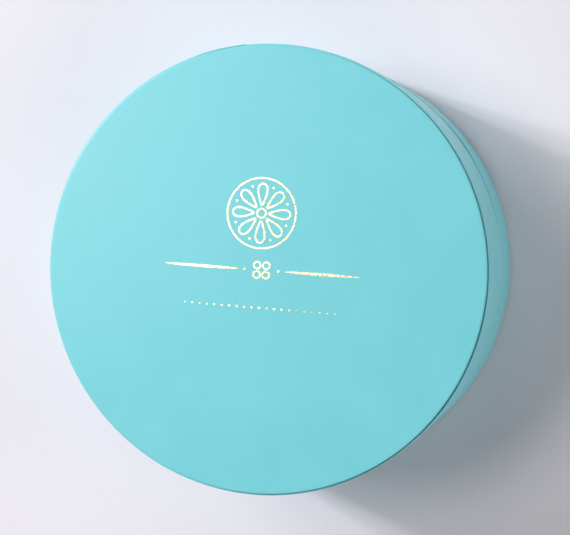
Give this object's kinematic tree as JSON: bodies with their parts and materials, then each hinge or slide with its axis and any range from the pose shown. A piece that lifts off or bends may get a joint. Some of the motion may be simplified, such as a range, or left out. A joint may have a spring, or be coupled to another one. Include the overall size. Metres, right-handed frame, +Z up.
{
  "type": "round jewelry box",
  "caption": "Round rigid paper box with a lift-off lid over an inner neck, and a padded insert with a ring slot.",
  "frame": {"origin": "centre of the underside, on the surface that the box stands on", "axes": "+Z up through the lid, +Y towards the top of the lid's ornament and the chain slits, -Y towards the pull ribbon"},
  "size_m": [0.12, 0.12, 0.06],
  "materials": {
    "cover_paper": "matte",
    "lining_paper": "matte",
    "greyboard": "matte",
    "stay_tape": "matte",
    "foam": "matte",
    "ivory_satin": "satin",
    "ivory_velvet": "matte",
    "blue_satin": "satin"
  },
  "bodies": {
    "base": {"base_tube": "greyboard", "base_disc": "greyboard", "base_stay_tape": "stay_tape", "base_side_wrap": "cover_paper", "base_bottom_paper": "cover_paper", "base_floor_lining": "lining_paper", "neck_tube": "greyboard", "neck_wrap": "lining_paper", "spacer_ring": "greyboard"},
    "lid": {"lid_tube": "greyboard", "lid_disc": "greyboard", "lid_top_paper": "cover_paper", "lid_side_wrap": "cover_paper", "lid_wall_lining": "lining_paper", "lid_pad_card": "greyboard", "lid_pad_foam": "foam", "lid_pad_satin": "ivory_satin"},
    "insert": {"insert_card": "greyboard", "insert_foam": "foam", "insert_velvet": "ivory_velvet", "ring_roll_front": "ivory_velvet", "ring_roll_back": "ivory_velvet", "pull_ribbon": "blue_satin"}
  },
  "joints": [
    {"name": "lid_lift", "type": "slide", "parent": "base", "child": "lid", "axis": [0, 0, 1], "range_m": [0, 0.08]},
    {"name": "insert_lift", "type": "slide", "parent": "base", "child": "insert", "axis": [0, 0, 1], "range_m": [0, 0.032]}
  ],
  "couplings": [
    {"joint": "insert_lift", "follows": "lid_lift", "ratio": 0.4}
  ]
}
